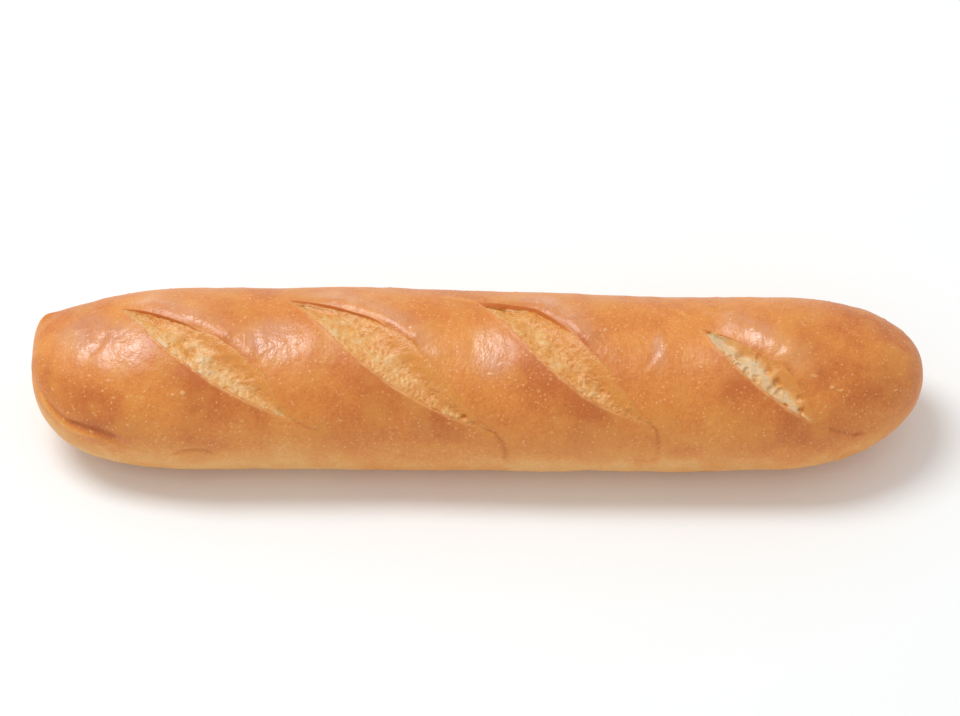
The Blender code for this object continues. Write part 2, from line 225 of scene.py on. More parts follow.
# How brown the crust is, from 0, pale, to 1, dark
BROWN_MIDDLE = 0.53
BROWN_BROAD = (19.0, 0.14, 21)
BROWN_FINE = (6.0, 0.13, 22)
BAND_FROM, BAND_OVER = 38.0, 15.0    # the paler lower crust, below this girth coordinate
BAND_PALER = 0.40
REAR_BROWN_AND_SHADE = 0.13                  # behind the ridge, partly browner crust and partly painted shade on the top
REAR_FROM, REAR_OVER = -6.0, 30.0
BESIDE_BROWNER = 0.34                # the swollen crust along a slash's lower edge
BESIDE_REACH = 9.0
BESIDE_FROM, BESIDE_OVER = 0.15, 0.40
BESIDE_FADES, BESIDE_FADE_OVER = 0.86, 0.14
LIP_EDGE_BROWN_AND_SHADE = 0.22              # a lip's own edge, partly caramelised and partly painted shade
LIP_EDGE_REACH = 1.8
LIP_EDGE_FADES, LIP_EDGE_FADE_OVER = 0.4, 0.4
NOSE_BROWNER = 0.18                  # the more tapered end baked darker and duller
NOSE_FROM, NOSE_OVER = 85.0, 50.0
RIM_WIDTH = 0.65                     # the thin pale rim of the lower edge
RIM_PALER = 0.75
RIM_BROKEN = (1.8, 0.45, 25)

# Spots that the oven browned more or, where negative, less: x, g, reach, how much
SPOTS = (
    (-147.0, -17.5, 8.0, 0.30),
    (-124.4, -14.2, 9.0, -0.06),
    (-90.1, -24.0, 7.0, 0.22),
    (-92.1, -37.3, 11.0, 0.20),
    (-125.1, -34.5, 10.0, 0.22),
    (-128.0, -24.0, 16.0, 0.24),
    (-69.5, -21.3, 7.0, 0.16),
    (-61.0, -39.0, 8.0, -0.15),
    (-38.9, -22.7, 8.0, 0.12),
    (-19.4, -32.1, 9.0, 0.10),
    (-2.9, -13.9, 9.0, -0.10),
    (36.9, -28.9, 9.0, 0.12),
    (54.0, -13.9, 8.0, 0.12),
    (86.7, -19.7, 9.0, 0.12),
    (114.5, -15.5, 3.5, 0.20),
    (-84.0, -10.5, 3.0, 0.25),
)

# Where steam gelled the starch, the skin is glossy: x, g, reach along x and around
GLOSS = (
    (-131.0, 1.5, 10.5, 11.0),
    (-118.0, -4.5, 10.0, 10.5),
    (-67.0, -3.0, 10.5, 8.5),
    (4.6, -6.0, 7.0, 9.5),
    (60.0, -5.0, 2.5, 7.0),
)
GLOSS_CREST = (2.2, 5.5)             # and along a lip, this far behind its edge and this wide
GLOSS_IN_ROLL = 0.7                  # or this share of the way up to the lip's highest line
GLOSS_BROKEN = (3.0, 0.35, 41)
GLOSS_BROWNER = 0.10     # how much browner the glossiest skin is
PAINTED_SHEEN_SHARE = 0.14             # and how much of a pale film it has, partly starch and partly painted sheen
GLAZE = 1.0              # weight of the clear coat where the skin is glossiest

# The crust's mesh
COLUMNS = 300
UPPER_FRONT, UPPER_REAR = -56.0, 40.0
UPPER_COLUMNS = 226
ROWS_LEFT_END = 60
ROWS_IN_SLASH = 8
ROWS_BETWEEN = 35
ROWS_RIGHT_END = 62
NEAR_EDGE = (0.2, 0.55, 0.95, 1.5, 2.2, 3.1)     # rows beside an edge, along x
INNER_ROWS = 3           # of those, how many lie inside the slash as well
LEAF_HALF = 7.0
TIP_HALF = 1.4
FOLLOW_REAR = 34.0
FOLLOW_FRONT = 42.0
TABLE_STEPS = 4000       # of the table from girth coordinate to angle
CENTRING_GRID = (201, 121)           # points that the loaf's width is centred by
STEP = 0.2               # over which its slope is taken

# The crumb's mesh
CRUMB_ROWS = 260
CRUMB_COLUMNS = 84
CRUMB_ENDS = 0.012       # share of the slash left free at each tip
TUCK = 1.3               # how far the crumb reaches under the crust, along x
TUCK_SLOPE = 0.45        # how steeply it dips there
MERGED_LESS = 0.28       # and how much less so where lip and crumb merge
CRUMB_THICK = 1.2
RUN_OUT_OVER = 0.32      # where lip and crumb merge, the crumb turns to crust by the lip
RUN_OUT_ACROSS = 0.50
RUN_OUT_TOAST = 0.98     # how toasted it is there
RUN_OUT_EVENER = 0.80    # and how much less textured
TORN_BROAD = (2.4, 0.10, 18)         # and the line where it turns is torn
TORN_FINE = (1.0, 0.06, 19)
FLUSH_FROM = 0.5         # by the lip, from here across, it comes up flush with the crust
FLUSH_OVER = 0.10        # and stands this far over the crust's edge
MOST_HOLLOW = 1.5        # no hollow of the crumb is deeper than this

# Bubbles of the crumb: how far they are drawn out, the share of them left out, the least reach
# from a bubble's middle and how much more the largest have, as shares of the square that each
# has to itself, and how soft its edge is
Bubbles = namedtuple("Bubbles", "drawn left_out least more soft")
LARGE_BUBBLES = Bubbles(drawn=1.3, left_out=0.45, least=0.20, more=0.30, soft=1.30)
PORES = Bubbles(drawn=1.5, left_out=0.30, least=0.20, more=0.25, soft=1.25)
PORE_SIZE, PORE_DEPTH = 0.75, 0.12
BUBBLES_BENT = 0.30      # how far their outlines wander, as a share of the large bubbles' size
BEND_SIZE = 1.9

# Fine texture, as patch size and height: fibres drawn out along the slash, weaker in its rear
# part, and crumbly grains
FIBRES = (2.8, 0.15)
FIBRES_DRAWN = 3.4
FIBRES_REAR, FIBRES_FULL = 0.35, 0.60
CRUMBLY = (1.3, 0.10)

# How toasted the crumb is, from 0, cream, to 1, like crust: golden towards the lip, browner
# towards the front tip and at the rear tip, in patches, browner in its hollows as painted shade
# and paler on its lumps as painted light
GOLD_FROM, GOLD_OVER = 0.30, 0.60
FRONT_FROM, FRONT_BROWNER, FRONT_LOW = 0.62, 0.40, 0.35
TIP_OVER, TIP_BROWNER = 0.14, 0.25
TOAST_BROAD = (5.0, 0.18)
TOAST_FINE = (1.7, 0.16)
# Painted light on the crumb's lumps and painted shade in its hollows
LUMPS_PAINTED_LIGHT = 0.25
HOLLOWS_PAINTED_SHADE = 0.60   # painted shade: browner for each millimetre of a hollow's depth
HOLLOW_HELD = (-0.2, 0.5)

# Hollows and, where the depth is negative, lumps of the crumb that stand out: x, g, reach, depth
HOLLOWS = (
    (-95.4, -7.6, 1.9, 1.5),
    (-97.6, -4.2, 2.2, 0.7),
    (-91.0, -10.6, 1.8, -0.7),
    (-101.9, -6.6, 1.0, 0.5),
    (-47.0, -0.2, 2.2, -0.4),
    (-16.0, -26.4, 0.9, -0.6),
    (-10.9, -28.4, 0.8, -0.6),
    (-8.4, -28.6, 0.7, -0.5),
    (-4.5, -29.3, 0.9, 0.9),
    (-0.6, -31.2, 0.8, 0.8),
    (22.7, -1.9, 1.5, -0.5),
    (41.2, -19.6, 1.2, 0.5),
    (49.7, -24.7, 0.9, -0.5),
    (86.9, -6.4, 1.6, 1.3),
    (96.2, -11.9, 1.2, 1.0),
    (99.0, -15.8, 1.3, 1.1),
    (106.6, -21.6, 1.2, 1.0),
)

# A blister's dome: the radius of each ring and its height, as shares of the blister's own
DOME = ((0.35, 0.77), (0.62, 0.38), (0.85, 0.08), (1.0, -0.02), (1.15, -0.30))
DOME_SIDES = 12
DOME_FOOT = 0.1          # how far below the crust a dome begins to be paler

# Where small blisters lie, and their sizes: how far from the tips, from what girth coordinate
# to what, how much their widths vary and the most that one does, as powers of e, how much
# longer than wide they are, how tall they are as a share of that, how much paler large and
# small ones are, and how far they keep from a slash
BLISTERS_FROM_TIP = 3.0
BLISTERS_ROUND = (-62.0, 66.0)
BLISTERS_VARY, BLISTERS_MOST = 0.36, 0.6
BLISTERS_LONG = (0.8, 1.6)
BLISTERS_TALL = 0.10
BLISTERS_PALER = (0.55, 0.36)
CLEAR_OF_LOW, CLEAR_OF_LIP = 2.5, 3.0
CLEAR_OF_TIPS = 0.05

# Larger blisters and flakes that stand out: x, g, width along x, width around, height
LARGE_BLISTERS = (
    (-100.8, -23.0, 1.8, 1.5, 0.35),
    (-97.5, -22.4, 2.8, 2.3, 0.45),
    (42.6, 2.6, 2.0, 2.0, 0.35),
    (4.5, -14.4, 3.2, 1.4, 0.22),
    (-26.4, -43.7, 1.9, 1.4, 0.30),
    (139.6, -24.6, 2.2, 1.7, 0.30),
    (-22.1, 1.4, 2.2, 1.8, 0.30),
    (120.4, -20.0, 2.2, 1.6, 0.35),
    (111.3, -14.2, 3.8, 1.9, 0.28),
    (117.4, -18.6, 2.6, 2.2, 0.32),
    (-77.3, 5.2, 1.5, 1.5, 0.25),
    (-116.0, -34.0, 1.6, 1.4, 0.28),
    (-128.8, -39.8, 2.4, 1.4, 0.28),
)

# The studio, in metres: a floor just below the loaf, a key light a little cooler than the fill,
# and a camera whose sensor alone is given in millimetres
FLOOR_SIZE, FLOOR_GAP = 8.0, 0.0001
KEY_TINT = (0.88, 0.955, 1.0)
FILL_TINT = (1.0, 0.99, 0.97)
SENSOR_WIDTH = 36.0


def linear(code):
    """A colour as sRGB hex, turned linear."""
    parts = [int(code[i:i + 2], 16) / 255 for i in (0, 2, 4)]
    return tuple(p / 12.92 if p <= 0.04045 else ((p + 0.055) / 1.055) ** 2.4 for p in parts)


def smooth(t):
    """Ease from 0 to 1."""
    t = np.clip(t, 0.0, 1.0)
    return t * t * (3.0 - 2.0 * t)


def faded(t, start, over):
    """Ease from 1 at the start to 0."""
    return 1.0 - smooth((t - start) / over)


def lip_lift_at(share):
    """How much of its full height a lip has, at shares of the way along its slash."""
    return smooth(share / LIP_OVER) * faded(share, LIP_FADES, LIP_FADE_OVER)


def patches(x, g, size, height, seed):
    """Smooth unevenness in patches of about the given size."""
    table = np.random.default_rng(seed).uniform(-height, height, (LATTICE, LATTICE))
    u = x / size + LATTICE / 2
    v = g / size + LATTICE / 2
    i = np.floor(u).astype(int)
    j = np.floor(v).astype(int)
    a = smooth(u - i)
    b = smooth(v - j)
    i, j = i % LATTICE, j % LATTICE
    i_next, j_next = (i + 1) % LATTICE, (j + 1) % LATTICE
    near = table[i, j] * (1.0 - a) + table[i_next, j] * a
    far = table[i, j_next] * (1.0 - a) + table[i_next, j_next] * a
    return near * (1.0 - b) + far * b


def bubbles(along, sideways, size, seed, kind):
    """Bubbles, one at most in each square of the given size: 1 inside them and 0 outside."""
    draw = np.random.default_rng(seed).uniform(0.0, 1.0, (3, LATTICE, LATTICE))
    u = along / size + LATTICE / 2
    v = sideways / kind.drawn / size + LATTICE / 2
    i, j = np.floor(u).astype(int), np.floor(v).astype(int)
    first = np.full(np.shape(along), np.inf)
    own = np.zeros(np.shape(along))
    for di in (-1, 0, 1):
        for dj in (-1, 0, 1):
            a, b = (i + di) % LATTICE, (j + dj) % LATTICE
            far = np.hypot(i + di + draw[0, a, b] - u, j + dj + draw[1, a, b] - v)
            closer = far < first
            own = np.where(closer, draw[2, a, b], own)
            first = np.where(closer, far, first)
    inside = smooth(kind.soft - first / (kind.least + kind.more * own))
    return inside * (own > kind.left_out)


def arch(share, peak, rise, fall):
    """A curve from 0 up to 1 at the peak and back to 0."""
    before = np.sin(math.pi / 2 * np.clip(share / peak, 0.0, 1.0)) ** rise
    after = np.sin(math.pi / 2 * np.clip((1.0 - share) / (1.0 - peak), 0.0, 1.0)) ** fall
    return np.where(share < peak, before, after)


def spread(x, g, middle_x, middle_g, reach_x, reach_g):
    """The square of the distance from a spot's middle, with its reach as the measure."""
    return ((x - middle_x) / reach_x) ** 2 + ((g - middle_g) / reach_g) ** 2


def nearest(x, g, line_x, line_g):
    """Distance from each point to a line, and the share of the line's steps at its nearest place."""
    best = np.full(np.shape(x), np.inf)
    where = np.zeros(np.shape(x))
    steps = len(line_x) - 1
    for step in range(steps):
        run_x = line_x[step + 1] - line_x[step]
        run_g = line_g[step + 1] - line_g[step]
        t = (x - line_x[step]) * run_x + (g - line_g[step]) * run_g
        t = np.clip(t / (run_x ** 2 + run_g ** 2), 0.0, 1.0)
        far = np.hypot(x - line_x[step] - t * run_x, g - line_g[step] - t * run_g)
        closer = far < best
        best = np.where(closer, far, best)
        where = np.where(closer, (step + t) / steps, where)
    return best, where


def share_along(slash, g):
    """How far along a slash a girth coordinate is, 0 at its rear tip and 1 at its front tip."""
    return (slash.rear[1] - g) / (slash.rear[1] - slash.front[1])


def slash_edges(slash, share):
    """x of a slash's middle line, its lower edge and its lip, at shares of the way along it."""
    middle = slash.rear[0] + (slash.front[0] - slash.rear[0]) * share
    held = np.clip(share, 0.0, 1.0)
    way = held * math.dist(slash.rear, slash.front)
    taper = np.sin(math.pi * held)
    seed = int(abs(slash.rear[0]))
    low_wander = patches(way, 0.0 * way, RAGGED_SIZE, RAGGED, seed)
    low_wander = (low_wander + patches(way, 0.0 * way, NOTCH_SIZE, NOTCHED, seed + 6)) * taper
    lip_wander = patches(way, 0.0 * way + RAGGED_SIZE * RAGGED_LIP, RAGGED_SIZE, RAGGED, seed)
    lip_wander = lip_wander * taper
    low = middle - slash.low_bow * arch(held, slash.low_peak, LOW_RISE, LOW_FALL) + low_wander
    lip = middle + slash.lip_bow * arch(held, slash.lip_peak, LIP_RISE, LIP_FALL) + lip_wander
    return middle, low, lip


class Loaf:
    """The loaf's form, worked out from its sizes, with every length in millimetres."""

    def __init__(self, form):
        self.length = form.length / METRES
        self.width = form.width / METRES
        self.height = form.height / METRES
        self.crumb_depth = form.crumb_depth / METRES
        self.swell = form.swell / METRES
        self.lip = form.lip / METRES
        self.angles = np.linspace(-math.pi / 2, 1.5 * math.pi, TABLE_STEPS + 1)
        y, z = self.section(self.angles, self.width / 2, self.height - BELLY, BELLY + SUNK,
                            0.0, BELLY)
        along = np.concatenate(([0.0], np.cumsum(np.hypot(np.diff(y), np.diff(z)))))
        self.girths = along - np.interp(math.pi / 2, self.angles, along)
        self.half_girth = self.girths[-1]
        self.shift = 0.0
        rows, columns = CENTRING_GRID
        x, g = np.meshgrid(np.linspace(-self.length / 2, self.length / 2, rows),
                           np.linspace(-self.half_girth, self.half_girth, columns))
        y = self.crust(x, g)[0][..., 1]
        self.shift = (y.min() + y.max()) / 2

    def fullness(self, x):
        """The share of the full section that the loaf has at x."""
        left = np.clip((self.length / 2 + x) / LEFT.length, 0.0, 1.0)
        right = np.clip((self.length / 2 - x) / RIGHT.length, 0.0, 1.0)
        left_share = (1.0 - (1.0 - left) ** 2) ** (1.0 / LEFT.blunt)
        right_share = (1.0 - (1.0 - right) ** 2) ** (1.0 / RIGHT.blunt)
        return left_share * right_share

    @staticmethod
    def section(angle, half_width, above, below, middle_y, belly_z):
        """Points of one section; the angle is 0 at the front and a quarter turn at the ridge."""
        tall = np.where(np.sin(angle) >= 0.0, above, below)
        powers = (np.abs(np.cos(angle)) / half_width) ** SQUARENESS
        powers = powers + (np.abs(np.sin(angle)) / tall) ** SQUARENESS
        radius = powers ** (-1.0 / SQUARENESS)
        z = np.maximum(belly_z + radius * np.sin(angle), 0.0)
        y = middle_y * np.minimum(z / BELLY, 1.0) - radius * np.cos(angle)
        return y, z

    def bare(self, x, angle):
        """The loaf before it was slashed, as y and z."""
        share = np.maximum(self.fullness(x), 1e-4)
        left_tip = np.clip(1.0 - (x + self.length / 2) / LEFT.tip, 0.0, 1.0) ** 2
        right_tip = np.clip(1.0 - (self.length / 2 - x) / RIGHT.tip, 0.0, 1.0) ** 2
        belly_z = BELLY + LEFT.rise * left_tip + RIGHT.rise * right_tip
        middle_y = LEFT.lean * left_tip + RIGHT.lean * right_tip - SWAY * np.tanh(x / SWAY_LENGTH)
        slimmer = 1.0 - SLIMMER * np.clip((x - SLIMMER_FROM) / SLIMMER_LENGTH, 0.0, 1.0)
        half_width = self.width / 2 * slimmer * share
        sunk = SUNK + (SUNK_TIPS - SUNK) * (x / (self.length / 2)) ** 2
        return self.section(angle, half_width, (self.height - belly_z) * share,
                            (BELLY + sunk) * share, middle_y, belly_z)

    def raised(self, x, g, rise):
        """Points of the loaf's surface, raised square to it."""
        angle = np.interp(g, self.girths, self.angles)
        y, z = self.bare(x, angle)
        x_low = np.clip(x - STEP, -self.length / 2, self.length / 2)
        x_high = np.clip(x + STEP, -self.length / 2, self.length / 2)
        turn = STEP / self.width
        low_end, high_end = self.bare(x_low, angle), self.bare(x_high, angle)
        ahead, behind = self.bare(x, angle + turn), self.bare(x, angle - turn)
        along = np.stack((x_high - x_low, high_end[0] - low_end[0], high_end[1] - low_end[1]),
                         axis=-1)
        around = np.stack((np.zeros(np.shape(x)), ahead[0] - behind[0], ahead[1] - behind[1]),
                          axis=-1)
        outward = np.cross(along, around)
        outward = outward / np.maximum(np.linalg.norm(outward, axis=-1, keepdims=True), 1e-12)
        hold = smooth((z - BASE_CLEAR) / BASE_FADE) * smooth(self.fullness(x) / TIP_FADE)
        hold = hold * smooth((self.half_girth - np.abs(g)) / UNDER_FADE)
        points = np.stack((x, y - self.shift, z), axis=-1)
        return points + outward * (rise * hold)[..., None]

    def crumb_depth_at(self, slash, across, share, width):
        """How deep the crumb lies, by the share of the way across and along a slash."""
        depth = RIM_DROP + (self.crumb_depth - RIM_DROP) * smooth(across / DEEPEST_AT)
        foot = slash.foot * faded(share, slash.merge, MERGE_OVER)
        depth = depth + (foot - depth) * smooth((across - DEEPEST_AT) / (1.0 - DEEPEST_AT))
        depth = depth * (1.0 - SHALLOW * smooth((share - SHALLOW_FROM) / SHALLOW_OVER))
        return depth * np.minimum(1.0, width / FULL_DEPTH_WIDTH)

    def crust_by_slash(self, slash, x, g):
        """The crust by one slash: rise, slides left and to the front, and four looks."""
        shares = np.linspace(0.0, 1.0, EDGE_STEPS + 1)
        edge_g = slash.rear[1] + (slash.front[1] - slash.rear[1]) * shares
        _, low_x, lip_x = slash_edges(slash, shares)
        to_low, low_share = nearest(x, g, low_x, edge_g)
        to_lip, lip_share = nearest(x, g, lip_x, edge_g)
        share = share_along(slash, g)
        middle, low, lip = slash_edges(slash, share)
        inside = (share > 0.0) & (share < 1.0) & (x > low) & (x < lip)
        right_side = x > middle
        width = np.maximum(to_low + to_lip, 1e-6)

        swell_lift = smooth(low_share / SWELL_OVER)
        swell_lift = swell_lift * faded(low_share, SWELL_FADES, SWELL_FADE_OVER)
        lip_lift = lip_lift_at(lip_share)
        taper = np.sin(math.pi * low_share) ** 0.5
        swell = self.swell * swell_lift * np.exp(-(to_low / SWELL_REACH) ** 2)
        roll = RIM_ROLL * taper * np.exp(-((to_low - RIM_ROLL_AT) / RIM_ROLL_WIDTH) ** 2)
        start = 1.0 / (1.0 + slash.roll)
        rolled = np.sin(math.pi / 2 * np.minimum(to_lip / slash.roll, 1.0))
        rolled = start + (1.0 - start) * rolled
        behind = np.maximum(to_lip - slash.roll, 0.0) / LIP_REACH
        crest = self.lip * lip_lift * rolled * np.exp(-behind ** LIP_CURVE)
        crest = crest * (1.0 + patches(lip_share, 0.0 * lip_share, *CREST_UNEVEN))
        outside = np.where(right_side, crest, swell + roll)

        depth = self.crumb_depth_at(slash, to_low / width, np.clip(share, 0.0, 1.0), width)
        bed = -(depth + BED_DROP * np.minimum(1.0, width / FULL_DEPTH_WIDTH))
        top = self.swell * swell_lift * to_lip + self.lip * lip_lift * start * to_low
        top = top / width
        merged = smooth((lip_share - slash.merge) / MERGE_OVER)
        slant = slash.face + (slash.slant - slash.face) * merged
        wall = smooth((to_low - WALL_FROM) / WALL_OVER) * smooth((to_lip - WALL_FROM) / slant)
        rise = np.where(inside, top + (bed - top) * wall, outside)

        reach = np.where(inside, UNDERCUT_REACH, LEAN_REACH)
        lean = np.where(inside | right_side, np.exp(-to_lip / reach), 0.0)
        lean = lean * slash.lean * smooth(lip_share / LIP_OVER) * (1.0 - merged)
        run = np.subtract(slash.front, slash.rear) / math.dist(slash.front, slash.rear)

        rim = np.where(inside | ~right_side, np.exp(-(to_low / RIM_WIDTH) ** 2), 0.0) * taper
        rim = rim * (RIM_PALER + patches(x, g, *RIM_BROKEN))
        beside = np.exp(-(to_low / BESIDE_REACH) ** 2)
        beside = beside * smooth((low_share - BESIDE_FROM) / BESIDE_OVER)
        beside = beside * faded(low_share, BESIDE_FADES, BESIDE_FADE_OVER)
        brown = BESIDE_BROWNER * np.where(right_side, 0.0, beside)
        behind, wide = GLOSS_CREST
        behind = max(behind, slash.roll * GLOSS_IN_ROLL)
        gloss = np.where(right_side & ~inside, np.exp(-((to_lip - behind) / wide) ** 2), 0.0)
        edge = np.where(right_side & ~inside, np.exp(-(to_lip / LIP_EDGE_REACH) ** 2), 0.0)
        edge = edge * np.sin(math.pi * lip_share) ** 0.5
        gloss = gloss * lip_lift * (1.0 - edge)
        edge = edge * faded(lip_share, LIP_EDGE_FADES, LIP_EDGE_FADE_OVER)
        # Darker along a lip's edge: partly caramelised, partly painted shade
        brown = brown + LIP_EDGE_BROWN_AND_SHADE * edge
        # The face under a lip is darker: partly its toasted colour, partly painted shade
        cut = np.where(inside & (to_lip < to_low), 1.0 - merged, 0.0) * smooth(width / CUT_FROM)
        return rise, lean * -run[1], lean * run[0], brown, rim, cut, gloss

    def crust(self, x, g):
        """Points of the crust, and its looks: brownness, rims, cut faces and gloss."""
        rise = patches(x, g, *UNEVEN_BROAD) + patches(x, g, *UNEVEN_FINE)
        rise = rise + patches(x, g * WRINKLES_DRAWN, *WRINKLES) + patches(x, g, *DIMPLES)
        to_corner = np.hypot(x - CORNER[0], g - CORNER[1])
        rise = rise + CORNER_HEIGHT * np.exp(-(to_corner / CORNER_WIDTH) ** 2)

        clear = smooth(self.fullness(x) / TIP_FADE)
        uneven = patches(x, g, *BROWN_BROAD) + patches(x, g, *BROWN_FINE)
        uneven = uneven * smooth((self.half_girth - np.abs(g)) / UNDER_FADE)
        band = smooth((np.abs(g) - BAND_FROM) / BAND_OVER)
        brown = BROWN_MIDDLE + (uneven - BAND_PALER * band) * clear
        # Darker behind the ridge: partly browner crust, partly painted shade on the top
        brown = brown + REAR_BROWN_AND_SHADE * smooth((g - REAR_FROM) / REAR_OVER) * (1.0 - band) * clear
        brown = brown + NOSE_BROWNER * smooth((x - NOSE_FROM) / NOSE_OVER)
        for crease in CREASES:
            line_x = [point[0] for point in crease.points]
            line_g = [point[1] for point in crease.points]
            far, way = nearest(x, g, line_x, line_g)
            ends = smooth(way / CREASE_ENDS) * smooth((1.0 - way) / CREASE_ENDS)
            trace = np.exp(-(far / crease.width) ** 2)
            rise = rise - crease.depth * trace * (CREASE_TIPS + (1.0 - CREASE_TIPS) * ends)
            # Painted shade along each crease and painted light along each raised line
            brown = brown + crease.brown * trace * (CREASE_TIPS + (1.0 - CREASE_TIPS) * ends)

        for middle_x, middle_g, reach, height in BUMPS:
            rise = rise + height * np.exp(-spread(x, g, middle_x, middle_g, reach, reach))
        for middle_x, middle_g, reach, browner in SPOTS:
            brown = brown + browner * np.exp(-spread(x, g, middle_x, middle_g, reach, reach))
        left, front, rim, cut, gloss = (np.zeros(np.shape(x)) for _ in range(5))
        for patch in GLOSS:
            gloss = np.maximum(gloss, np.exp(-spread(x, g, *patch) ** 2))

        for slash in SLASHES:
            near = (x > slash.rear[0] - SLASH_REACH) & (x < slash.front[0] + SLASH_REACH)
            near &= (g < slash.rear[1] + SLASH_REACH) & (g > slash.front[1] - SLASH_REACH)
            found = self.crust_by_slash(slash, x[near], g[near])
            for field, value in zip((rise, left, front, brown, rim, cut, gloss), found):
                field[near] += value
        gloss = gloss * (1.0 + patches(x, g * WRINKLES_DRAWN, *GLOSS_BROKEN))
        brown = brown + GLOSS_BROWNER * gloss
        points = self.raised(x - left, g - front, rise)
        return points, {"brown": brown, "rim": rim, "cut": cut, "gloss": gloss}

    def crumb(self, slash):
        """Points of one slash's crumb, as rows along it, and how toasted each is."""
        share = np.linspace(CRUMB_ENDS, 1.0 - CRUMB_ENDS, CRUMB_ROWS)[:, None]
        u = np.linspace(0.0, 1.0, CRUMB_COLUMNS)[None, :]
        g = slash.rear[1] + (slash.front[1] - slash.rear[1]) * share
        _, low, lip = slash_edges(slash, share)
        x = low - TUCK + (lip - low + 2 * TUCK) * u
        g = np.broadcast_to(g, x.shape)
        across = np.clip((x - low) / (lip - low), 0.0, 1.0)
        beyond = np.maximum(np.maximum(low - x, x - lip), 0.0)
        run = np.subtract(slash.front, slash.rear) / math.dist(slash.front, slash.rear)
        width = (lip - low) * -run[1]
        merged = smooth((share - slash.merge) / MERGE_OVER)
        flush = self.lip * lip_lift_at(share) / (1.0 + slash.roll) + FLUSH_OVER
        flush = flush * merged * smooth((across - FLUSH_FROM) / (1.0 - FLUSH_FROM))
        run_out = smooth((share - slash.merge) / RUN_OUT_OVER)
        torn = across + patches(x, g, *TORN_BROAD) + patches(x, g, *TORN_FINE)
        run_out = run_out * smooth((torn - 1.0 + RUN_OUT_ACROSS) / RUN_OUT_ACROSS)

        depth = self.crumb_depth_at(slash, across, share, width)
        middle = np.sin(math.pi * across) * np.minimum(1.0, width / FULL_DEPTH_WIDTH)
        depth = depth - patches(x, g, *CRUMB_LUMPS) * middle

        bent = BUBBLES_BENT * slash.cell
        along = x * run[0] + g * run[1] + patches(x, g, BEND_SIZE, bent, 26)
        sideways = x * -run[1] + g * run[0]
        sideways = sideways + patches(x, g, BEND_SIZE, bent, 27)
        seed = int(abs(slash.rear[0]))
        pit = slash.pit * bubbles(along, sideways, slash.cell, seed, LARGE_BUBBLES)
        pore = bubbles(along, sideways, PORE_SIZE, seed + 1, PORES)
        fibre = patches(x * FIBRES_DRAWN, g, *FIBRES, seed + 2)
        fibre = fibre * (FIBRES_REAR + (1.0 - FIBRES_REAR) * smooth(share / FIBRES_FULL))
        fine = -PORE_DEPTH * pore + fibre + patches(x, g, *CRUMBLY, seed + 5)
        texture = (slash.fine * fine - pit) * (1.0 - RUN_OUT_EVENER * run_out)
        mark = np.zeros(x.shape)
        for middle_x, middle_g, reach, deep in HOLLOWS:
            far = np.hypot(x - middle_x, g - middle_g) / reach
            mark = mark + deep * np.exp(-far ** 3)
        floor = -MOST_HOLLOW * np.minimum(1.0, width / FULL_DEPTH_WIDTH)
        rise = np.maximum(texture - mark, floor) - depth + flush
        rise = rise - (TUCK_SLOPE - MERGED_LESS * merged * (x > lip)) * beyond
        rise = rise + patches(x, g, *UNEVEN_BROAD) + patches(x, g, *UNEVEN_FINE)

        gold = smooth((across - GOLD_FROM) / GOLD_OVER)
        toast = slash.pale + (slash.gold - slash.pale) * gold
        front = smooth((share - FRONT_FROM) / (1.0 - FRONT_FROM))
        toast = toast + FRONT_BROWNER * front * (FRONT_LOW + (1.0 - FRONT_LOW) * across)
        toast = toast + TIP_BROWNER * smooth((TIP_OVER - share) / TIP_OVER)
        toast = toast + patches(x, g, *TOAST_BROAD, seed + 3) + patches(x, g, *TOAST_FINE, seed + 4)
        # Painted light: the lumps are paler. Painted shade: the hollows are browner
        toast = toast + LUMPS_PAINTED_LIGHT * np.minimum(mark, 0.0)
        hollow = np.clip(mark / 2 - texture, *HOLLOW_HELD)
        toast = toast + HOLLOWS_PAINTED_SHADE * slash.gold * hollow
        toast = toast * (1.0 - run_out) + RUN_OUT_TOAST * run_out
        return self.raised(x, g, rise), {"toast": toast}


def even_stations(loaf, start, end, rows):
    """x of rows that are evenly spaced over the bare loaf's own profile, ends included."""
    x = np.linspace(start, end, TABLE_STEPS + 1)
    half = loaf.width / 2 * loaf.fullness(x)
    along = np.concatenate(([0.0], np.cumsum(np.hypot(np.diff(x), np.diff(half)))))
    return np.interp(np.linspace(0.0, along[-1], rows + 1), along, x)


def stations(loaf):
    """x of each row before it follows the slashes, crowded at the slashes' edges."""
    middles = [(slash.rear[0] + slash.front[0]) / 2 for slash in SLASHES]
    outer = np.array(NEAR_EDGE)
    inner = outer[:INNER_ROWS]
    first = middles[0] - LEAF_HALF
    rows = [even_stations(loaf, -loaf.length / 2, first - outer[-1], ROWS_LEFT_END)]
    rows.append(first - outer[-2::-1])
    for number, middle in enumerate(middles):
        low, lip = middle - LEAF_HALF, middle + LEAF_HALF
        rows.append(low + inner)
        rows.append(np.linspace(low + inner[-1], lip - inner[-1], ROWS_IN_SLASH + 1)[1:-1])
        rows.append(lip - inner[::-1])
        rows.append(lip + outer)
        if number + 1 < len(middles):
            following = middles[number + 1] - LEAF_HALF
            rows.append(np.linspace(lip + outer[-1], following - outer[-1],
                                    ROWS_BETWEEN + 1)[1:-1])
            rows.append(following - outer[::-1])
        else:
            rows.append(even_stations(loaf, lip + outer[-1], loaf.length / 2, ROWS_RIGHT_END)[1:])
    return np.concatenate(rows)


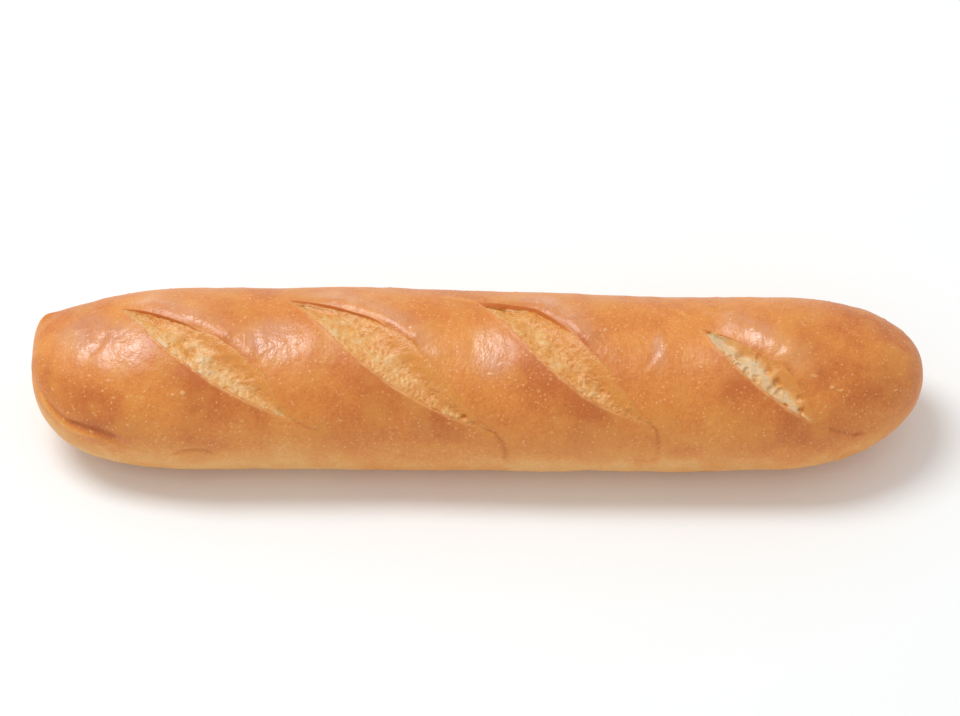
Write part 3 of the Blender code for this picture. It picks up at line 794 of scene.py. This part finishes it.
def followed(loaf, rows, g):
    """x of every row at one girth coordinate, moved so that the rows follow the slashes."""
    knots = [-loaf.length / 2]
    moves = [0.0]
    for slash in SLASHES:
        share = np.clip(share_along(slash, g), 0.0, 1.0)
        behind = faded(g, slash.rear[1], FOLLOW_REAR)
        before = faded(slash.front[1] - g, 0.0, FOLLOW_FRONT)
        centre = (slash.rear[0] + slash.front[0]) / 2
        middle, low, lip = slash_edges(slash, share)
        low = min(low, middle - TIP_HALF)
        lip = max(lip, middle + TIP_HALF)
        for home, edge in ((centre - LEAF_HALF, low), (centre + LEAF_HALF, lip)):
            move = (edge - home) * behind * before
            knots.extend((home - NEAR_EDGE[1], home + NEAR_EDGE[1]))
            moves.extend((move, move))
    knots.append(loaf.length / 2)
    moves.append(0.0)
    return rows + np.interp(rows, knots, moves)


def column_girths(loaf):
    """The girth coordinate of each column, from the underside over the rear to the front."""
    lower = COLUMNS - UPPER_COLUMNS
    rear_way = loaf.half_girth - UPPER_REAR
    front_way = loaf.half_girth + UPPER_FRONT
    rear_columns = round(lower * rear_way / (rear_way + front_way))
    rear = np.linspace(loaf.half_girth, UPPER_REAR, rear_columns + 1)[:-1]
    upper = np.linspace(UPPER_REAR, UPPER_FRONT, UPPER_COLUMNS + 1)[:-1]
    front = np.linspace(UPPER_FRONT, -loaf.half_girth, lower - rear_columns + 1)[:-1]
    return np.concatenate((rear, upper, front))


def primitive_places(mesh):
    """Where a primitive's points lie, in their order."""
    co = np.empty(len(mesh.vertices) * 3, dtype=np.float32)
    mesh.vertices.foreach_get("co", co)
    return co.reshape(-1, 3).astype(float)


def place_points(mesh, points, looks):
    """Send a mesh's points, in their order, to places in millimetres, and store their looks."""
    mesh.vertices.foreach_set("co", (points * METRES).astype(np.float32).ravel())
    for name, values in looks.items():
        layer = mesh.attributes.new(name, "FLOAT", "POINT")
        layer.data.foreach_set("value", np.asarray(values, dtype=np.float32).ravel())
    mesh.update()


def add_piece(name, mesh, material):
    """Link a smooth-shaded piece that rides with the loaf."""
    mesh.materials.append(material)
    mesh.shade_smooth()
    piece = bpy.data.objects.new(name, mesh)
    bpy.context.scene.collection.objects.link(piece)
    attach(piece, "root")
    return piece


def feed(tree, node, inputs):
    """Give a node's inputs their values or links."""
    for name, value in inputs.items():
        if isinstance(value, bpy.types.NodeSocket):
            tree.links.new(value, node.inputs[name])
        else:
            node.inputs[name].default_value = value


def add_node(tree, kind, inputs, **settings):
    """Add a node with its settings, and its inputs as values or links."""
    node = tree.nodes.new(kind)
    for name, value in settings.items():
        setattr(node, name, value)
    feed(tree, node, inputs)
    return node


def look(tree, name):
    """A look that is stored with the mesh."""
    return add_node(tree, "ShaderNodeAttribute", {}, attribute_name=name).outputs["Fac"]


def noise(tree, place, size, detail):
    """A noise pattern of the given size in millimetres."""
    return add_node(tree, "ShaderNodeTexNoise", {
        "Vector": place, "Scale": per_mm(size), "Detail": detail}).outputs["Fac"]


def maths(tree, operation, *values):
    """The result of an operation on values or links."""
    return add_node(tree, "ShaderNodeMath", dict(enumerate(values)),
                    operation=operation).outputs[0]


def ranged(tree, value, start, end, first=0.0, last=1.0):
    """Run from the first value to the last while the given one runs from start to end."""
    return add_node(tree, "ShaderNodeMapRange", {
        "Value": value, "From Min": start, "From Max": end,
        "To Min": first, "To Max": last}).outputs[0]


def ramped(tree, level, stops):
    """A colour ramp's colour at a level."""
    node = add_node(tree, "ShaderNodeValToRGB", {"Fac": level})
    ramp = node.color_ramp.elements
    for number, (place, tint) in enumerate(stops):
        stop = ramp[number] if number < 2 else ramp.new(place)
        stop.position = place
        stop.color = (*tint, 1.0)
    return node.outputs["Color"]


def mixed(tree, share, colour, tint):
    """A colour with a share of a tint mixed in."""
    return add_node(tree, "ShaderNodeMix", {0: share, 6: colour, 7: (*tint, 1.0)},
                    data_type="RGBA").outputs[2]


def bumped(tree, bumps):
    """The normal after bumps one upon another: their height, strength and distance."""
    normal = {}
    for height, strength, distance in bumps:
        node = add_node(tree, "ShaderNodeBump", {
            "Height": height, "Strength": strength, "Distance": distance, **normal})
        normal = {"Normal": node.outputs["Normal"]}
    return normal["Normal"]


def new_material(name):
    """An empty node material, with its tree and its shader."""
    material = bpy.data.materials.new(name)
    material.use_nodes = True
    tree = material.node_tree
    return material, tree, tree.nodes["Principled BSDF"]


def per_mm(size):
    """A texture's scale for a pattern of the given size in millimetres."""
    return 1.0 / (size * METRES)


def baked_crust(colours):
    """Baked wheat crust: starch gelled by steam, then browned in the oven.

    To the eye it is a satin orange-brown skin, clouded where it browned unevenly, with small
    pale blisters, faint lengthwise streaks, and soft highlights broken up by wrinkles. Its
    glossiest skin has a pale film mixed into its colour, partly starch and partly painted sheen.
    """
    material = bpy.data.materials.get("baked_wheat_crust")
    if material:
        return material
    material, tree, shader = new_material("baked_wheat_crust")
    place = add_node(tree, "ShaderNodeTexCoord", {}).outputs["Object"]
    brown, rim, cut, blister, gloss = (
        look(tree, name) for name in ("brown", "rim", "cut", "blister", "gloss"))

    # Clouds of yellower crust, mottle, streaks drawn out round the loaf, and grain
    clouds = noise(tree, place, 12.0, 3.0)
    mottle = noise(tree, place, 2.5, 4.0)
    drawn = add_node(tree, "ShaderNodeMapping", {"Vector": place, "Scale": (1.0, 0.4, 0.4)})
    streaks = noise(tree, drawn.outputs[0], 1.6, 3.0)
    grain = noise(tree, place, 0.85, 3.0)
    level = brown
    for pattern, weight in ((mottle, 0.34), (streaks, 0.20), (grain, 0.66)):
        part = maths(tree, "MULTIPLY_ADD", pattern, weight, -weight / 2)
        level = maths(tree, "ADD", level, part)
    colour = ramped(tree, level, ((0.00, colours.crust_pale), (1.00, colours.crust_dark),
                                  (0.30, colours.crust_light), (0.58, colours.crust_middle)))
    golden = ranged(tree, clouds, 0.48, 0.66, last=0.55)
    colour = mixed(tree, golden, colour, colours.crust_golden)

    # Starch specks of about 0.5 mm in loose clusters, paler than the crust round them
    specks = add_node(tree, "ShaderNodeTexVoronoi", {"Vector": place, "Scale": per_mm(1.7)})
    frayed = maths(tree, "MULTIPLY_ADD", grain, 0.5, specks.outputs["Distance"])
    speckled = ranged(tree, frayed, 0.34, 0.48, first=0.72, last=0.0)
    clustered = ranged(tree, noise(tree, place, 5.0, 2.0), 0.36, 0.58)
    speckled = maths(tree, "MULTIPLY", speckled, clustered)
    # A pale pinkish film mixed in where the skin is glossiest: partly starch, partly painted sheen
    painted_sheen_film = maths(tree, "MULTIPLY", gloss, PAINTED_SHEEN_SHARE)
    for share, tint in ((painted_sheen_film, colours.painted_sheen_film), (speckled, colours.speck),
                        (blister, colours.speck), (rim, colours.rim), (cut, colours.cut_face)):
        colour = mixed(tree, share, colour, tint)

    # Gelled starch is nearly as smooth as glaze, and the dry skin round it is dull
    uneven = maths(tree, "MULTIPLY_ADD", mottle, 0.6, gloss)
    rough = ranged(tree, uneven, 0.25, 1.15, first=0.46, last=0.34)
    normal = bumped(tree, ((mottle, 0.45, 0.00060), (streaks, 0.5, 0.00045),
                           (grain, 0.45, 0.00025)))
    glaze = maths(tree, "MULTIPLY", gloss, GLAZE)
    feed(tree, shader, {"Base Color": colour, "Roughness": rough, "Normal": normal, "IOR": 1.50,
                        "Coat Weight": glaze, "Coat Roughness": 0.31, "Coat IOR": 1.50,
                        "Coat Normal": normal})
    return material


def torn_crumb(colours):
    """Wheat crumb, torn open as the loaf rose and toasted where the oven reached it.

    To the eye it is matt and porous, cream deep in the slash and golden towards the lip, and
    light sinks into it, so that its hollows glow instead of turning black; painted shade also
    makes them browner.
    """
    material = bpy.data.materials.get("torn_wheat_crumb")
    if material:
        return material
    material, tree, shader = new_material("torn_wheat_crumb")
    place = add_node(tree, "ShaderNodeTexCoord", {}).outputs["Object"]
    toast = look(tree, "toast")
    part = maths(tree, "MULTIPLY_ADD", noise(tree, place, 1.4, 4.0), 0.40, -0.20)
    level = maths(tree, "ADD", toast, part)
    colour = ramped(tree, level, ((0.00, colours.crumb_cream), (1.00, colours.crust_golden),
                                  (0.40, colours.crumb_gold), (0.72, colours.crumb_toasted)))
    normal = bumped(tree, ((noise(tree, place, 0.6, 3.0), 0.7, 0.00032),))
    feed(tree, shader, {"Base Color": colour, "Roughness": 0.28, "Normal": normal, "IOR": 1.50,
                        "Subsurface Weight": 0.55, "Subsurface Radius": (1.0, 0.65, 0.40),
                        "Subsurface Scale": 0.0010})
    return material


def length_setting(name, description, default):
    """A length in metres that a user can change."""
    return bpy.props.FloatProperty(name=name, description=description, default=default,
                                   unit="LENGTH")


def colour_setting(name, description, code):
    """A colour that a user can change, with its default as sRGB hex."""
    return bpy.props.FloatVectorProperty(name=name, description=description, size=3,
                                         default=linear(code), subtype="COLOR")


class BaguetteForm(bpy.types.PropertyGroup):
    """Sizes of the loaf."""

    length: length_setting("Length", "Length of the loaf", 0.300)
    width: length_setting("Width", "Width of the full section before slashing", 0.0632)
    height: length_setting("Height", "Height of the full section before slashing", 0.050)
    crumb_depth: length_setting("Crumb depth", "Depth of the crumb in the middle of a slash",
                                0.0020)
    swell: length_setting("Swell", "How far the crust swells up to a lower edge", 0.0011)
    lip: length_setting("Lip", "How far a lip stands proud of the loaf", 0.0016)
    blisters: bpy.props.IntProperty(
        name="Blisters", description="Number of small blisters all over the crust",
        default=1500)
    blister_size: length_setting("Blister size", "Usual width of a small blister", 0.00085)


class BaguetteColours(bpy.types.PropertyGroup):
    """Colours of the crust and of the crumb."""

    crust_pale: colour_setting("Crust, pale", "The low band, which browned least", "E6AE66")
    crust_light: colour_setting("Crust, light", "Golden crust", "E29542")
    crust_middle: colour_setting("Crust, middle", "Most of the crust", "D98236")
    crust_golden: colour_setting("Crust, golden", "Clouds of yellower crust", "DC903E")
    crust_dark: colour_setting("Crust, dark", "The crust beside the slashes", "C26726")
    speck: colour_setting("Specks", "Blisters and specks of starch", "F0B574")
    # Partly the starch film's colour, partly a painted sheen on the glossiest skin
    painted_sheen_film: colour_setting("Film", "The milky film of starch on the glossy skin", "F0C8A8")
    rim: colour_setting("Rim", "The thin rim of a lower edge", "EAA866")
    # Partly the cut face's toasted colour, partly painted shade under the lip
    cut_face: colour_setting("Cut face", "Where the crust turns down into a slash", "CE7433")
    crumb_cream: colour_setting("Crumb, cream", "Crumb that the oven hardly reached", "E2C297")
    crumb_gold: colour_setting("Crumb, gold", "Crumb with some colour", "E6AC66")
    crumb_toasted: colour_setting("Crumb, toasted", "Crumb by a lip and towards the front tip",
                                  "E0994E")


class BaguetteStudio(bpy.types.PropertyGroup):
    """The floor, the light and the camera."""

    floor: colour_setting("Floor", "Colour of the floor", "F7F7F6")
    key_length: length_setting("Key light length", "Length of the soft box, along the loaf", 1.20)
    key_width: length_setting("Key light width", "Width of the soft box", 0.64)
    key_height: length_setting("Key light height", "Height of the soft box", 1.8)
    key_behind: length_setting("Key light behind", "How far the soft box stands behind the loaf",
                               0.43)
    key_left: length_setting("Key light left", "How far the soft box stands to the loaf's left",
                             0.76)
    key_power: bpy.props.FloatProperty(
        name="Key light power", description="Power of the soft box", unit="POWER", default=22.8)
    fill: bpy.props.FloatProperty(
        name="Fill", description="Strength of the even light from all round", default=0.67)
    elevation: bpy.props.FloatProperty(
        name="Camera elevation", description="Angle of the camera above the level",
        subtype="ANGLE", default=math.radians(55.0))
    distance: length_setting("Camera distance", "Distance from the loaf's middle", 1.40)
    view_width: length_setting("View width", "Width of the picture at the loaf's middle", 0.3235)
    aim_right: length_setting("Aim right", "How far the aim is to the right of the loaf's middle",
                              0.0008)
    aim_up: length_setting("Aim up", "How far the aim is above the loaf's middle, in the picture",
                           0.0054)


class BAGUETTE_OT_crust(bpy.types.Operator):
    """Model the crust, which stands for the CAD loaf"""

    bl_idname = "mesh.baguette_crust"
    bl_label = "Crust"

    def execute(self, context):
        loaf = Loaf(context.scene.baguette_form)
        rows = stations(loaf)
        girths = column_girths(loaf)
        x = np.stack([followed(loaf, rows, g) for g in girths], axis=1)
        g = np.broadcast_to(girths, x.shape).copy()
        points, looks = loaf.crust(x, g)
        looks["blister"] = np.zeros(x.shape)
        for end in (0, -1):
            points[end] = points[end].mean(axis=0)

        mesh = bpy.data.meshes.new("crust")
        ball = bmesh.new()
        last = len(rows) - 1
        bmesh.ops.create_uvsphere(ball, u_segments=COLUMNS, v_segments=last, radius=1.0)
        ball.to_mesh(mesh)
        ball.free()
        co = primitive_places(mesh)
        ring = np.rint(np.arccos(np.clip(co[:, 2], -1.0, 1.0)) / math.pi * last).astype(int)
        column = np.rint(np.arctan2(co[:, 1], co[:, 0]) / (2 * math.pi) * COLUMNS).astype(int)
        row, column = last - ring, column % COLUMNS
        place_points(mesh, points[row, column],
                     {name: field[row, column] for name, field in looks.items()})
        material = baked_crust(context.scene.baguette_colours)
        crust = add_piece("crust", mesh, material)
        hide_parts("loaf")
        return {"FINISHED"}


class BAGUETTE_OT_crumb(bpy.types.Operator):
    """Model the crumb that shows in each slash"""

    bl_idname = "mesh.baguette_crumb"
    bl_label = "Crumb"

    def execute(self, context):
        loaf = Loaf(context.scene.baguette_form)
        for slash in SLASHES:
            points, looks = loaf.crumb(slash)
            mesh = bpy.data.meshes.new(slash.name)
            sheet = bmesh.new()
            bmesh.ops.create_grid(sheet, x_segments=CRUMB_ROWS - 1, y_segments=CRUMB_COLUMNS - 1,
                                  size=1.0)
            sheet.to_mesh(mesh)
            sheet.free()
            co = primitive_places(mesh)
            row = np.rint((co[:, 0] + 1.0) / 2 * (CRUMB_ROWS - 1)).astype(int)
            column = np.rint((co[:, 1] + 1.0) / 2 * (CRUMB_COLUMNS - 1)).astype(int)
            place_points(mesh, points[row, column],
                         {name: field[row, column] for name, field in looks.items()})
            material = torn_crumb(context.scene.baguette_colours)
            crumb = add_piece(slash.name, mesh, material)
            thick = crumb.modifiers.new("thickness", "SOLIDIFY")
            thick.thickness = CRUMB_THICK * METRES
            thick.offset = -1.0
        return {"FINISHED"}


class BAGUETTE_OT_blisters(bpy.types.Operator):
    """Model the blisters of the crust as small domes on it"""

    bl_idname = "mesh.baguette_blisters"
    bl_label = "Blisters"

    def execute(self, context):
        form = context.scene.baguette_form
        loaf = Loaf(form)
        draw = np.random.default_rng(31)
        count = form.blisters
        reach = loaf.length / 2 - BLISTERS_FROM_TIP
        x = draw.uniform(-reach, reach, count)
        g = draw.uniform(*BLISTERS_ROUND, count)
        size = np.exp(np.minimum(draw.normal(0.0, BLISTERS_VARY, count), BLISTERS_MOST))
        size = size * form.blister_size / METRES
        long = draw.uniform(*BLISTERS_LONG, count)
        domes = np.stack((x, g, size * long, size, BLISTERS_TALL * size), axis=1)
        domes = domes[clear_of_slashes(domes[:, 0], domes[:, 1])]
        domes = np.concatenate((np.array(LARGE_BLISTERS), domes))

        turns = np.arange(DOME_SIDES) * 2 * math.pi / DOME_SIDES
        across = np.concatenate([[0.0]] + [radius * np.cos(turns) for radius, _ in DOME])
        around = np.concatenate([[0.0]] + [radius * np.sin(turns) for radius, _ in DOME])
        tall = np.concatenate([[1.0]] + [np.full(DOME_SIDES, height) for _, height in DOME])
        dome_x = domes[:, 0:1] + domes[:, 2:3] / 2 * across
        dome_g = domes[:, 1:2] + domes[:, 3:4] / 2 * around
        points, looks = loaf.crust(dome_x, dome_g)
        outward = self.outward(loaf, dome_x, dome_g)
        points = points + outward * (domes[:, 4:5] * tall)[..., None]
        paint = np.where(np.arange(len(domes)) < len(LARGE_BLISTERS), *BLISTERS_PALER)
        looks["blister"] = paint[:, None] * smooth(tall + DOME_FOOT)

        faces = []
        for number in range(len(domes)):
            first = number * len(tall)
            faces.extend(dome_faces(first))
        mesh = bpy.data.meshes.new("blisters")
        mesh.from_pydata(np.zeros((dome_x.size, 3)), [], faces)
        flat = {name: np.asarray(field).reshape(-1) for name, field in looks.items()}
        place_points(mesh, points.reshape(-1, 3), flat)
        add_piece("blisters", mesh, baked_crust(context.scene.baguette_colours))
        return {"FINISHED"}

    @staticmethod
    def outward(loaf, x, g):
        """The direction straight out of the bare loaf."""
        step = loaf.raised(x, g, np.full(x.shape, 1.0)) - loaf.raised(x, g, np.zeros(x.shape))
        return step / np.maximum(np.linalg.norm(step, axis=-1, keepdims=True), 1e-9)


def clear_of_slashes(x, g):
    """Whether a blister at each place lies on crust and not in a slash."""
    clear = np.ones(len(x), dtype=bool)
    for slash in SLASHES:
        share = share_along(slash, g)
        _, low, lip = slash_edges(slash, share)
        beside = (x > low - CLEAR_OF_LOW) & (x < lip + CLEAR_OF_LIP)
        clear &= ~((share > -CLEAR_OF_TIPS) & (share < 1.0 + CLEAR_OF_TIPS) & beside)
    return clear


def dome_faces(first):
    """Faces of one dome whose points start at the given number."""
    faces = []
    for side in range(DOME_SIDES):
        following = (side + 1) % DOME_SIDES
        faces.append((first, first + 1 + side, first + 1 + following))
        for ring in range(len(DOME) - 1):
            inner = first + 1 + ring * DOME_SIDES
            outer = inner + DOME_SIDES
            faces.append((inner + side, outer + side, outer + following, inner + following))
    return faces


class BAGUETTE_OT_stage(bpy.types.Operator):
    """Set up the floor, the light and the camera"""

    bl_idname = "scene.baguette_stage"
    bl_label = "Studio"

    def execute(self, context):
        studio = context.scene.baguette_studio
        bpy.ops.mesh.primitive_plane_add(size=FLOOR_SIZE, location=(0.0, 0.0, -FLOOR_GAP))
        floor = context.active_object
        floor.name = "floor"
        material, tree, shader = new_material("matt_paper_sweep")
        feed(tree, shader, {"Base Color": (*studio.floor, 1.0), "Roughness": 0.9,
                            "Specular IOR Level": 0.1})
        floor.data.materials.append(material)

        world = bpy.data.worlds.new("even_fill")
        world.use_nodes = True
        background = world.node_tree.nodes["Background"]
        background.inputs["Color"].default_value = (*FILL_TINT, 1.0)
        background.inputs["Strength"].default_value = studio.fill
        context.scene.world = world

        box = bpy.data.lights.new("soft_box", "AREA")
        box.shape = "ELLIPSE"
        box.size = studio.key_length
        box.size_y = studio.key_width
        box.energy = studio.key_power
        box.color = KEY_TINT
        light = bpy.data.objects.new("soft_box", box)
        light.location = (-studio.key_left, studio.key_behind, studio.key_height)
        turn = math.atan2(studio.key_left, studio.key_height)
        light.rotation_euler = (-math.atan2(studio.key_behind, studio.key_height), -turn, 0.0)
        context.scene.collection.objects.link(light)

        low, high = CAD_BOX
        middle = (low + high) / 2
        back = Vector((0.0, -math.cos(studio.elevation), math.sin(studio.elevation)))
        up = Vector((0.0, math.sin(studio.elevation), math.cos(studio.elevation)))
        target = middle + Vector((1.0, 0.0, 0.0)) * studio.aim_right + up * studio.aim_up
        lens = bpy.data.cameras.new("camera")
        lens.sensor_width = SENSOR_WIDTH
        lens.lens = lens.sensor_width * studio.distance / studio.view_width
        camera = bpy.data.objects.new("camera", lens)
        camera.location = target + back * studio.distance
        camera.rotation_euler = (-back).to_track_quat("-Z", "Y").to_euler()
        context.scene.collection.objects.link(camera)
        context.scene.camera = camera
        context.scene.view_settings.view_transform = "Standard"
        return {"FINISHED"}


class BAGUETTE_PT_panel(bpy.types.Panel):
    """Sizes, colours and pieces of the baguette"""

    bl_label = "Baguette"
    bl_idname = "BAGUETTE_PT_panel"
    bl_space_type = "VIEW_3D"
    bl_region_type = "UI"
    bl_category = "Baguette"

    def draw(self, context):
        for group in (context.scene.baguette_form, context.scene.baguette_colours,
                      context.scene.baguette_studio):
            box = self.layout.box()
            for name in group.bl_rna.properties.keys():
                if name not in {"rna_type", "name"}:
                    box.prop(group, name)
        for operator in OPERATORS:
            self.layout.operator(operator.bl_idname)


OPERATORS = (BAGUETTE_OT_crust, BAGUETTE_OT_crumb, BAGUETTE_OT_blisters, BAGUETTE_OT_stage)
GROUPS = {
    "baguette_form": BaguetteForm,
    "baguette_colours": BaguetteColours,
    "baguette_studio": BaguetteStudio,
}


def register():
    """Register the settings, the operators and the panel."""
    for name, group in GROUPS.items():
        bpy.utils.register_class(group)
        setattr(bpy.types.Scene, name, bpy.props.PointerProperty(type=group))
    for operator in OPERATORS:
        bpy.utils.register_class(operator)
    bpy.utils.register_class(BAGUETTE_PT_panel)


def unregister():
    """Remove what register added."""
    bpy.utils.unregister_class(BAGUETTE_PT_panel)
    for operator in reversed(OPERATORS):
        bpy.utils.unregister_class(operator)
    for name, group in GROUPS.items():
        delattr(bpy.types.Scene, name)
        bpy.utils.unregister_class(group)


def main():
    """Make every piece and the stage."""
    register()
    bpy.ops.mesh.baguette_crust()
    bpy.ops.mesh.baguette_crumb()
    bpy.ops.mesh.baguette_blisters()
    bpy.ops.scene.baguette_stage()


if __name__ == "__main__":
    main()
